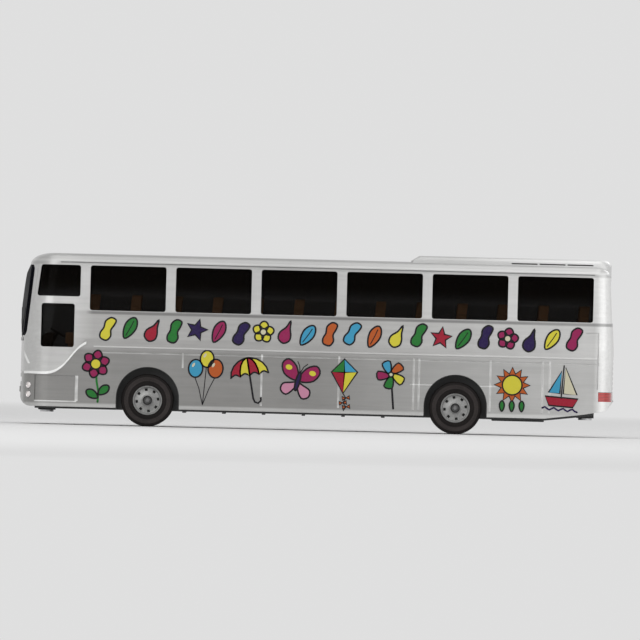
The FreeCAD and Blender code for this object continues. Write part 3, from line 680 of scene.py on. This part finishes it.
def addSeat(verts, faces, x, sign):
    deck, aisle, window, cushion = (seats[name] for name in ("deck", "aisle", "window", "cushion"))
    mid = (aisle + window) / 2
    for near, far in ((aisle, mid - 0.15), (mid + 0.15, window)):
        y0, y1 = sorted((sign * near, sign * far))
        addShape(verts, faces, box(x, x + cushion - 0.1, y0, y1, deck + 1.2, seats["cushionTop"]))
        addShape(verts, faces, seatBack(x + cushion, y0, y1))
    y0, y1 = sorted((sign * (aisle + 0.6), sign * (window - 0.6)))
    addShape(verts, faces, box(x + 0.5, x + cushion + 0.9, y0, y1, deck - 0.2, deck + 1.3))


verts, faces = [], []
for row in range(seats["rows"]):
    for sign in (-1, 1):
        addSeat(verts, faces, seats["first"] + seats["pitch"] * row, sign)
addSeat(verts, faces, seats["driver"], -1)
soften(makePiece("seatRows", verts, faces, ["seatPlastic"]), 0.18)

# floor of the seat deck, with the dashboard and its hood
floorEdge = [(-67.5, 5.4), (-66.6, 10.0), (-62.6, 13.1), (64.1, 13.1), (67.4, 10.5)]
floorEdge += [(x, -y) for x, y in reversed(floorEdge)]
count = len(floorEdge)
verts = [(x, y, z) for z in (16.62, seats["deck"]) for x, y in floorEdge]
faces = [range(count)[::-1], range(count, 2 * count)] + ringFaces(0, count, count)
addShape(verts, faces, box(-64.4, -62.0, -10.0, 10.0, 17.4, 20.7, shift=0.6))
addShape(verts, faces, box(-63.6, -61.4, -9.4, -5.2, 20.4, 21.3, shift=0.3))
soften(makePiece("deckFloor", verts, faces, ["deckPlastic"], ["seat_deck"]), 0.15)

steering = {"centre": (-60.4, -7.3, 21.2), "radius": 1.85, "bar": 0.22, "tilt": 30}
columnSection = [(0.0, -3.2), (0.3, -3.2), (0.3, 0.1), (0.55, 0.2), (0.0, 0.25)]
rimTurns = [n * pi / 4 for n in range(8)]
radius, bar = steering["radius"], steering["bar"]
rimLoop = [(radius + bar * cos(a), bar * sin(a)) for a in rimTurns]
lean = radians(steering["tilt"])
centre, steerAxis = Vector(steering["centre"]), Vector((sin(lean), 0, cos(lean)))
verts, faces = turned(rimLoop, centre, steerAxis, 32)
addShape(verts, faces, turned(columnSection, centre, steerAxis, 16))
for turn in (90, 210, 330):
    spoke = Matrix.Rotation(radians(turn), 3, steerAxis) @ steerAxis.orthogonal().normalized()
    wide, thick = spoke.cross(steerAxis).normalized() * 0.16, steerAxis.normalized() * 0.1
    start, stop = centre + spoke * 0.2, centre + spoke * radius
    plan = ((start, -wide), (stop, -wide), (stop, wide), (start, wide))
    addShape(verts, faces, ([p + a + b for b in (-thick, thick) for p, a in plan], boxFaces))
makePiece("steeringWheel", verts, faces, ["wiperBlack"])
print("seats and driver's place made")

# round lamps in the front corners
lamps = {"heights": (9.0, 6.9), "foot": (-66.03, 11.44), "turn": radians(40)}
lensSection = [(0, 0.2), (0.6, 0.2), (0.6, 1.12), (0.5, 1.2), (0.33, 1.26), (0.16, 1.29), (0, 1.3)]
bezelSection = [(0.6, 0.15), (0.79, 0.15), (0.79, 1.22), (0.74, 1.3), (0.66, 1.31), (0.6, 1.24)]
for side, sign in sides:
    axis = (-cos(lamps["turn"]), sign * sin(lamps["turn"]), 0)
    verts, faces, marks = [], [], []
    for z in lamps["heights"]:
        for mark, section in enumerate((lensSection, bezelSection)):
            ring = turned(section, (lamps["foot"][0], sign * lamps["foot"][1], z), axis, 40)
            addShape(verts, faces, ring)
            marks += [mark] * len(ring[1])
    looks, stands = ("lampClear", "lampBezel"), [side + "_headlamps"]
    makePiece(side + "RoundLamps", verts, faces, looks, stands, marks)
print("lamps made")

# windscreen: a domed pane, a little proud, in a silver surround that lines the opening
windscreen = {
    "lowHalf": 10.9, "topHalf": 10.3, "low": 20.5, "top": 36.95, "corner": 1.3, "proud": 0.75,
    "back": -0.26,
    "rings": (
        (1.0, 0.0), (0.997, 0.1), (0.985, 0.24), (0.96, 0.4), (0.92, 0.56), (0.86, 0.7),
        (0.76, 0.82), (0.62, 0.91), (0.46, 0.96), (0.3, 0.99), (0.14, 1.0),
    ),
}
surround = {
    "lowHalf": 11.99, "topHalf": 11.39, "low": 20.31, "top": 37.09, "corner": 0.875, "back": -0.27,
}

# plan curves of the body's front, which leans in and back above the belt
front = {
    "belt": 20.3, "rise": 19.5, "centre": -9.0, "radius": 60.0, "half": 9.3, "cornerRadius": 6.0,
    "cornerY": 8.35, "cornerReach": 5.9, "lean": 1.1, "rake": 2.0,
}


def frontPoint(y, z, lift):  # a point on the front of the body, or lifted off it
    share = max(0.0, z - front["belt"]) / front["rise"]
    turnAt, cornerY = (front[name] - front["lean"] * share for name in ("half", "cornerY"))
    noseX = front["centre"] + front["rake"] * share
    wide, small = front["radius"] ** 2, front["cornerRadius"] ** 2
    if abs(y) <= turnAt:
        x = noseX - sqrt(wide - y * y)
        out = Vector((x - noseX, y, 0)).normalized()
    else:
        cornerX = noseX - sqrt(wide - turnAt * turnAt) + sqrt(small - (turnAt - cornerY) ** 2)
        across = min(abs(y) - cornerY, front["cornerReach"])
        x = cornerX - sqrt(small - across * across)
        out = Vector((x - cornerX, copysign(across, y), 0)).normalized()
    return Vector((x, y, z)) + out * lift


def screenLift(z):  # how far the dome may stand out at this height
    up, down = (z - front["belt"]) * 0.1026 + 0.03, (37.1 - z) * 0.35 + 0.08
    return min(windscreen["proud"], up, down)


def screenLoop(w):  # an outline with round corners, as (y, z)
    loop = []
    corners = [(w["lowHalf"], w["low"]), (w["topHalf"], w["top"])]
    corners += [(-sideY, cornerZ) for sideY, cornerZ in reversed(corners)]
    radius = w["corner"]
    for quarter, (sideY, cornerZ) in enumerate(corners):
        centreY = sideY - copysign(radius, sideY)
        centreZ = cornerZ + (radius if cornerZ == w["low"] else -radius)
        for n in range(7):
            a = radians(90 * quarter - 90 + 15 * n)
            loop.append((centreY + radius * cos(a), centreZ + radius * sin(a)))
    dense = []
    for n, (y, z) in enumerate(loop):
        nextY, nextZ = loop[(n + 1) % len(loop)]
        steps = 12 if n % 7 == 6 else 1
        dense += [(y + (nextY - y) * k / steps, z + (nextZ - z) * k / steps) for k in range(steps)]
    return dense


def screenRing(loop, grow, lift):  # a loop made larger or smaller about its middle, and lifted
    return [frontPoint(y * grow, midZ + (z - midZ) * grow, lift) for y, z in loop]


paneEdge, midZ = screenLoop(windscreen), (windscreen["low"] + windscreen["top"]) / 2
count, middle = len(paneEdge), len(windscreen["rings"]) - 1
verts, faces = [], []
for scale, share in windscreen["rings"]:
    for y, z in paneEdge:
        y, z = y * scale, midZ + (z - midZ) * scale
        verts.append(frontPoint(y, z, screenLift(z) * share))
for scale, share in reversed(windscreen["rings"]):
    verts += screenRing(paneEdge, scale, windscreen["back"])
rings = 2 * len(windscreen["rings"])
for k in range(rings):
    if k != middle:
        faces += ringFaces(k * count, (k + 1) % rings * count, count)
faces.append(range(middle * count, (middle + 1) * count))
faces.append(range((middle + 1) * count, (middle + 2) * count)[::-1])
makePiece("windscreenPane", verts, faces, ["screenGlass"])

outer, back = screenLoop(surround), surround["back"]
rimLoops = [(outer, 1.0, -0.012), (outer, 1.0, back), (paneEdge, 1.0, back), (paneEdge, 1.0, -0.04)]
rimLoops += [(paneEdge, 1.004, 0.0), (paneEdge, 1.012, 0.0)]
verts, faces = [], []
for k, rimLoop in enumerate(rimLoops):
    verts += screenRing(*rimLoop)
    faces += ringFaces(k * count, (k + 1) % len(rimLoops) * count, count)
makePiece("screenSurround", verts, faces, ["bodySilver"], sharp=50)
print("windscreen made")

# wipers on the windscreen: an arm and a blade at each pivot, in (across, up) from it
wipers = {"pivots": {"left": (-7.6, 19.6), "right": (1.4, 19.6)}, "paneFoot": 21.0}
bars = (
    {"start": (0, 0), "reach": (5.2, 4.6), "lift": (0, 0.08), "radius": 0.085, "steps": 5},
    {"start": (2.8, 1.5), "reach": (4.8, 5.9), "lift": (0.05, 0), "radius": 0.065, "steps": 8},
)
pivotSection = [(0.0, 0.0), (0.42, 0.0), (0.42, 0.12), (0.3, 0.16), (0.0, 0.16)]


def screenPoint(y, z, lift):  # a point on the dome of the windscreen, or on the body below it
    foot, belt = wipers["paneFoot"], front["belt"]
    proud = screenLift(max(z, foot)) * 0.97 * min(1.0, max(0.0, z - belt) / (foot - belt))
    return frontPoint(y, z, proud + lift)


def tube(points, radius, count=8):
    verts, faces, last = [], [], len(points) - 1
    for n, point in enumerate(points):
        ahead = (points[min(n + 1, last)] - points[max(n - 1, 0)]).normalized()
        first = ahead.cross(Vector((1, 0, 0))).normalized()
        second = ahead.cross(first)
        for k in range(count):
            turn = 2 * pi * k / count
            verts.append(point + (first * cos(turn) + second * sin(turn)) * radius)
    for n in range(last):
        faces += ringFaces(n * count, (n + 1) * count, count)
    return verts, faces + [range(count)[::-1], range(last * count, (last + 1) * count)]


for name, (y, z) in wipers["pivots"].items():
    verts, faces = [], []
    for bar in bars:
        (barY, barZ), (across, up), (lift, more) = bar["start"], bar["reach"], bar["lift"]
        along = [n / bar["steps"] for n in range(bar["steps"] + 1)]
        points = [screenPoint(y + barY + across * t, z + barZ + up * t, lift + more * t) for t in along]
        addShape(verts, faces, tube(points, bar["radius"]))
    addShape(verts, faces, turned(pivotSection, screenPoint(y, z, -0.02), (-1, 0, 0), 20))
    makePiece(name + "Wiper", verts, faces, ["wiperBlack"])
print("wipers made")

# printed decoration of plain shapes, on both sides
sidePrint = {"lift": 0.035, "layer": 0.012, "half": 14.35, "lean": 1.1 / 19.5}


def moved(points, x, z, tilt, scale=1.0):  # points turned about their origin, then shifted
    c, s = scale * cos(radians(tilt)), scale * sin(radians(tilt))
    return [(x + a * c - b * s, z + a * s + b * c) for a, b in points]


def oval(cx, cz, rx, rz, tilt=0, count=22):
    turns = [2 * pi * n / count for n in range(count)]
    return moved([(rx * cos(a), rz * sin(a)) for a in turns], cx, cz, tilt)


def smooth(points, steps=3):  # a closed curve through the points
    curve, count = [], len(points)
    for n in range(count):
        p0, p1, p2, p3 = (Vector(points[(n + k) % count]) for k in (-1, 0, 1, 2))
        for t in (s / steps for s in range(steps)):
            bend = (2 * p0 - 5 * p1 + 4 * p2 - p3) * t * t + (3 * p1 - p0 - 3 * p2 + p3) * t ** 3
            curve.append(tuple(0.5 * (2 * p1 + (p2 - p0) * t + bend)))
    return curve


def star(cx, cz, far, near, count, tilt):
    tips = [((far, near)[n % 2], radians(tilt + 180 * n / count)) for n in range(2 * count)]
    return [(cx + r * cos(a), cz + r * sin(a)) for r, a in tips]


def petal(cx, cz, length, width, tilt):
    half = [(0, 0), (0.25, 0.36), (0.6, 0.5), (0.88, 0.32), (1, 0)]
    half += [(a, -b) for a, b in reversed(half[1:-1])]
    return moved([(length * a, width * b) for a, b in smooth(half)], cx, cz, tilt)


def fill(art, ink, points, layer=1):
    art.append((ink, layer, points))


def line(art, points, width=0.4, ink="outline", closed=False, layer=3):
    pts = [Vector(p) for p in points]
    half, edges, count = width / 2, [], len(pts)
    for n, point in enumerate(pts):
        before = pts[n - 1] if closed or n else point
        after = pts[(n + 1) % count] if closed or n < count - 1 else point
        ahead = (after - before).normalized()
        out = Vector((-ahead.y, ahead.x)) * half
        edges.append((point + out, point - out))
    for n in range(count if closed else count - 1):
        (a, b), (c, d) = edges[n], edges[(n + 1) % count]
        art.append((ink, layer, [tuple(a), tuple(b), tuple(d), tuple(c)]))
    if not closed:
        for point in (pts[0], pts[-1]):
            art.append((ink, layer, oval(point.x, point.y, half, half, 0, 8)))


def shape(art, ink, points, layer=1):
    fill(art, ink, points, layer)
    line(art, points, closed=True, layer=layer + 1)


def placed(art, s, z, scale, tilt, draw, *choice):  # draws a motif, then moves it to its place
    motif = []
    draw(motif, *choice)
    art += [(ink, layer, moved(points, s, z, tilt, scale)) for ink, layer, points in motif]


def flower(art):
    line(art, [(0, -6.4), (0.3, -4), (0, -1.5), (0, 0.5)], 0.5, "leaf", layer=1)
    shape(art, "leaf", petal(0.2, -4.6, 3.2, 1.9, 35))
    shape(art, "leaf", petal(0.1, -5.4, 3.2, 1.9, 145))
    for n in range(6):
        shape(art, "magenta", petal(0, 2.6, 3.3, 2.2, 60 * n + 15), 3)
    shape(art, "lemon", oval(0, 2.6, 1.25, 1.25), 5)


def balloons(art):
    three = ((-2.5, 2.6, "sky", 1), (2.4, 3, "tangerine", 1.05), (0.1, 5.2, "lemon", 0.95))
    for x, z, ink, size in three:
        line(art, [(x, z - 2.2 * size), (x * 0.5, -2.2), (0, -6.2)], 0.2)
        shape(art, ink, oval(x, z, 1.75 * size, 2.2 * size), 3)
        fill(art, "cream", oval(x - 0.6, z + 0.8, 0.3, 0.6, -25, 10), 5)


def umbrella(art):
    line(art, [(0, 3.6), (0, -4.6), (0.25, -5.5), (1, -5.9), (1.75, -5.4), (1.85, -4.7)], 0.45)
    ribs = [-4.6, -2.3, 0, 2.3, 4.6]
    turns = (0.35, 0.7, 1.05, 1.35)
    for a, b, ink in zip(ribs, ribs[1:], ("cherry", "lemon", "cherry", "lemon")):
        rim = [(a + (b - a) * n / 5, 0.9 + 0.75 * sin(pi * n / 5)) for n in range(6)]
        crown = [(b * cos(turn), 0.9 + 4.4 * sin(turn)) for turn in turns]
        back = [(a * cos(turn), 0.9 + 4.4 * sin(turn)) for turn in reversed(turns)]
        shape(art, ink, rim + crown + [(0, 5.3)] + back, 3)


upperWing = [(0, 0.6), (1.2, 3.4), (3.4, 4.6), (4.6, 3.2), (3.6, 1), (1.2, 0.1)]
lowerWing = [(0, -0.3), (1.6, -0.7), (3.3, -1.4), (3.4, -3), (1.9, -3.7), (0.5, -2)]


def butterfly(art):
    for sign in (-1, 1):
        for ink, wing in (("magenta", upperWing), ("pink", lowerWing)):
            shape(art, ink, smooth([(sign * x, z) for x, z in wing]))
        fill(art, "lemon", oval(sign * 2.9, 2.7, 0.8, 0.6), 3)
        line(art, [(0, 2), (sign * 0.5, 3.6), (sign * 1.2, 4.5)], 0.22)
    shape(art, "navy", oval(0, 0, 0.5, 2.3), 4)


def kite(art):
    corners, mid = ((0.6, 6.2), (3.4, 2.6), (-0.8, -2.2), (-3, 3.4)), (0.2, 2.9)
    for n, ink in enumerate(("sky", "lemon", "cherry", "leaf")):
        shape(art, ink, [corners[n], corners[(n + 1) % 4], mid])
    tail = [(-0.8, -2.2), (-0.2, -3.4), (-1.1, -4.5), (-0.4, -5.6), (-1.2, -6.4)]
    line(art, tail, 0.25)
    for x, z in tail[1:-1]:
        for bow in (x - 0.9, x + 0.9):
            shape(art, "tangerine", [(bow, z + 0.45), (x, z), (bow, z - 0.45)], 3)


def pinwheel(art):
    line(art, [(0, 2.2), (0, -6.2)], 0.5, layer=1)
    for n, ink in enumerate(("tangerine", "sky", "magenta", "leaf", "lemon")):
        a = radians(72 * n + 18)
        edge = ((3.4, a), (3.5, a + 0.62), (1.4, a + 1))
        sail = [(0, 2.4)] + [(reach * cos(turn), 2.4 + reach * sin(turn)) for reach, turn in edge]
        shape(art, ink, smooth(sail), 3)
    shape(art, "cream", oval(0, 2.4, 0.6, 0.6), 6)


def sunMotif(art):
    shape(art, "tangerine", star(0, 1, 4.7, 3, 12, 90))
    shape(art, "lemon", oval(0, 1, 2.6, 2.6), 3)
    for x in (-2.6, 0, 2.6):
        shape(art, "leaf", petal(x, -6, 2.8, 1.3, 90), 3)


def sailboat(art):
    line(art, [(0, 5.6), (0, -2.8)], 0.35)
    shape(art, "cream", [(0.45, 5.2), (0.45, -1.6), (4, -1.6)])
    shape(art, "sky", [(-0.45, 4.2), (-0.45, -1.6), (-3.4, -1.6)])
    shape(art, "cherry", [(-4.2, -2.6), (4.4, -2.6), (3.2, -4.9), (-3, -4.9)], 3)
    line(art, [(-4.6 + 0.6 * n, -5.7 + 0.35 * sin(1.6 * n)) for n in range(16)], 0.45, "navy")


bean = [
    (-1.7, -2), (-0.3, -2.6), (0.7, -1.6), (0.7, -0.2), (1.5, 1),
    (1.9, 2.1), (0.8, 2.7), (-0.5, 1.9), (-0.9, 0.4), (-1.7, -0.8),
]
drop = [
    (1.3, 2.8), (0.2, 1.3), (-1.3, 0.2), (-1.7, -1.3),
    (-0.6, -2.4), (0.8, -1.9), (1.2, -0.6), (1.1, 0.9),
]
motifs = [  # (along, up, scale, tilt, drawing)
    (17.8, 11.7, 0.98, 4, flower),
    (43, 11.2, 0.94, -4, balloons),
    (53.6, 11.5, 0.96, 10, umbrella),
    (64.6, 11.4, 0.98, -14, butterfly),
    (75.6, 11, 0.94, 8, kite),
    (86.4, 11.3, 0.92, 5, pinwheel),
    (114.4, 10.9, 0.88, 0, sunMotif),
    (126, 11.5, 0.9, -4, sailboat),
]
bandKinds = ("bean", "leaf", "drop", "bean", "star", "leaf", "bean", "blossom", "drop", "leaf", "bean")
bandInks = (
    "lemon", "sky", "magenta", "leaf", "tangerine", "navy", "cherry",
    "sky", "lemon", "leaf", "tangerine", "magenta", "navy",
)


def bandShape(art, kind, ink):
    if kind == "bean":
        shape(art, ink, smooth(bean))
    elif kind == "leaf":
        shape(art, ink, petal(-1.4, -2.3, 5.4, 2.7, 60))
        line(art, [(-1, -1.6), (0.2, 0.3), (0.9, 1.6)], 0.22)
    elif kind == "drop":
        shape(art, ink, smooth(drop))
    elif kind == "star":
        shape(art, ink, star(0, 0, 2.6, 1.15, 5, 80))
    else:
        for n in range(5):
            shape(art, ink, petal(0, 0, 2.5, 2, 72 * n + 12))
        shape(art, "cream", oval(0, 0, 0.8, 0.8), 3)


def sideArt():
    art = []
    for motif in motifs:
        placed(art, *motif)
    for n in range(22):
        kind, ink = bandKinds[n % len(bandKinds)], bandInks[(n * 3) % len(bandInks)]
        s, z = 20.2 + 5.16 * n, 22.4 + 0.35 * sin(1.9 * n)
        placed(art, s, z, 1.0, 6 * sin(2.7 * n), bandShape, kind, ink)
    return art


names = list(inkColours)
for side, sign in sides:
    bm = bmesh.new()
    for ink, layer, points in sideArt():
        face = bm.faces.new([bm.verts.new((x - 69.0, 0.001 * layer, z)) for x, z in points])
        face.material_index = names.index(ink)
    whole = bm.verts[:] + bm.edges[:] + bm.faces[:]
    bmesh.ops.bisect_plane(bm, geom=whole, plane_co=(0, 0, front["belt"]), plane_no=(0, 0, 1))
    bmesh.ops.triangulate(bm, faces=[f for f in bm.faces if len(f.verts) > 4])
    for vert in bm.verts:
        layer = round(vert.co.y / 0.001)
        lean = sidePrint["lean"] * max(0.0, vert.co.z - front["belt"])
        vert.co.y = sign * (sidePrint["half"] - lean + sidePrint["lift"] + sidePrint["layer"] * layer)
        vert.co *= mm
    for face in bm.faces:
        face.smooth = False
        face.normal_update()
        if face.normal.y * sign < 0:
            face.normal_flip()
    mesh = bpy.data.meshes.new(side + "Print")
    bm.to_mesh(mesh)
    bm.free()
    for ink in names:
        mesh.materials.append(finish["ink" + ink.capitalize()])
    piece = addObject(mesh.name, mesh)
    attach(piece, "coach")
print("side print made")

# plain pale floor, so wide that it reaches past the view on every side
stage = {"radius": 9.0, "colour": (0.66,) * 3, "far": (0.74, 0.74, 0.74, 1), "fade": (0.2, 0.9)}


def raysSeen(tree):  # 1 for camera, mirror and clear rays, 0 for light on the object
    rays = tree.nodes.new("ShaderNodeLightPath")
    seen = sum(Wire(rays.outputs[f"Is {kind} Ray"]) for kind in ("Camera", "Glossy", "Transmission"))
    return seen.sums("MINIMUM", seen, 1.0)


def stageLooks(place, look):
    darker, lighter = (shaded(look["colour"], factor) for factor in (0.99, 1.0))
    return {
        "Base Color": grain(place, 6).mixed(darker, lighter),
        "Roughness": 0.85,
        "Specular IOR Level": 0.1,
    }


makeFinish("palePaper", stageLooks, stage)
paper = finish["palePaper"]
paperNodes = paper.node_tree.nodes
near = Wire(paperNodes["Principled BSDF"].outputs[0])
place = Wire(paperNodes.new("ShaderNodeTexCoord").outputs["Object"])
away = place.vectors("LENGTH", (0, 0, 0), 1)
far = place.node("ShaderNodeEmission", {}, {"Color": stage["far"], "Strength": 1.0})
share = rising(away, *stage["fade"]) * raysSeen(paper.node_tree)
faded = place.node("ShaderNodeMixShader", {}, {0: share, 1: near, 2: far})
paper.node_tree.links.new(faded.socket, paperNodes["Material Output"].inputs["Surface"])
mesh = bpy.data.meshes.new("paleFloor")
turns = [n * pi / 32 for n in range(64)]
disc = [(stage["radius"] * cos(a), stage["radius"] * sin(a), 0.0) for a in turns]
mesh.from_pydata(disc, [], [range(64)])
mesh.materials.append(paper)
paleFloor = addObject("paleFloor", mesh)
paleFloor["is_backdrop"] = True

# soft studio light
studio = {
    "world": 0.55,
    "seen": 0.74,
    "lights": {
        "topSoft": {"place": (0.0, -0.15, 0.62), "aim": (0, 0, 0.02), "size": 0.7, "power": 1.9},
        "frontSoft": {"place": (-0.28, -0.62, 0.3), "aim": (0, 0, 0.02), "size": 0.4, "power": 1.3},
        "rearRim": {"place": (0.35, 0.45, 0.35), "aim": (0, 0, 0.03), "size": 0.3, "power": 0.6},
        "tailSoft": {"place": (0.5, -0.34, 0.2), "aim": (0.06, 0, 0.025), "size": 0.5, "power": 0.6},
    },
}
for name, light in studio["lights"].items():
    data = bpy.data.lights.new(name, "AREA")
    data.shape, data.size, data.energy = "SQUARE", light["size"], light["power"]
    lamp = addObject(name, data)
    lamp.location = light["place"]
    back = Vector(light["place"]) - Vector(light["aim"])
    lamp.rotation_euler = back.to_track_quat("Z", "Y").to_euler()
world = bpy.data.worlds.new("studio")
bpy.context.scene.world = world
world.use_nodes = True
tree = world.node_tree
strength = raysSeen(tree) * (studio["seen"] - studio["world"]) + studio["world"]
tree.nodes["Background"].inputs["Color"].default_value = (1, 1, 1, 1)
tree.links.new(strength.socket, tree.nodes["Background"].inputs["Strength"])

# camera square to the left side, rolled a little as in the photograph
view = {
    "lens": 900, "sensor": 36, "field": 148.6, "plane": -14.35, "x": 0.406, "z": 25.758, "roll": 1.45,
}
data = bpy.data.cameras.new("camera")
data.lens, data.sensor_width = view["lens"], view["sensor"]
data.clip_start, data.clip_end = 0.05, 60.0
camera = addObject("camera", data)
turnX, turnZ = cos(radians(view["roll"])), sin(radians(view["roll"]))
facing = Matrix(((turnX, 0, turnZ), (-turnZ, 0, turnX), (0, -1, 0))).transposed().to_4x4()
away = view["field"] * view["lens"] / view["sensor"]
eye = Vector((view["x"], view["plane"] - away, view["z"])) * mm
camera.matrix_world = Matrix.Translation(eye) @ facing
bpy.context.scene.camera = camera
bpy.context.scene.view_settings.view_transform = "Standard"
print("stage, light and camera made")

low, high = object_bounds()
sizes = [[round((b - a) * 1000, 2) for a, b in zip(*box)] for box in ((low, high), (cadLow, cadHigh))]
print("size", sizes[0], "cad", sizes[1])
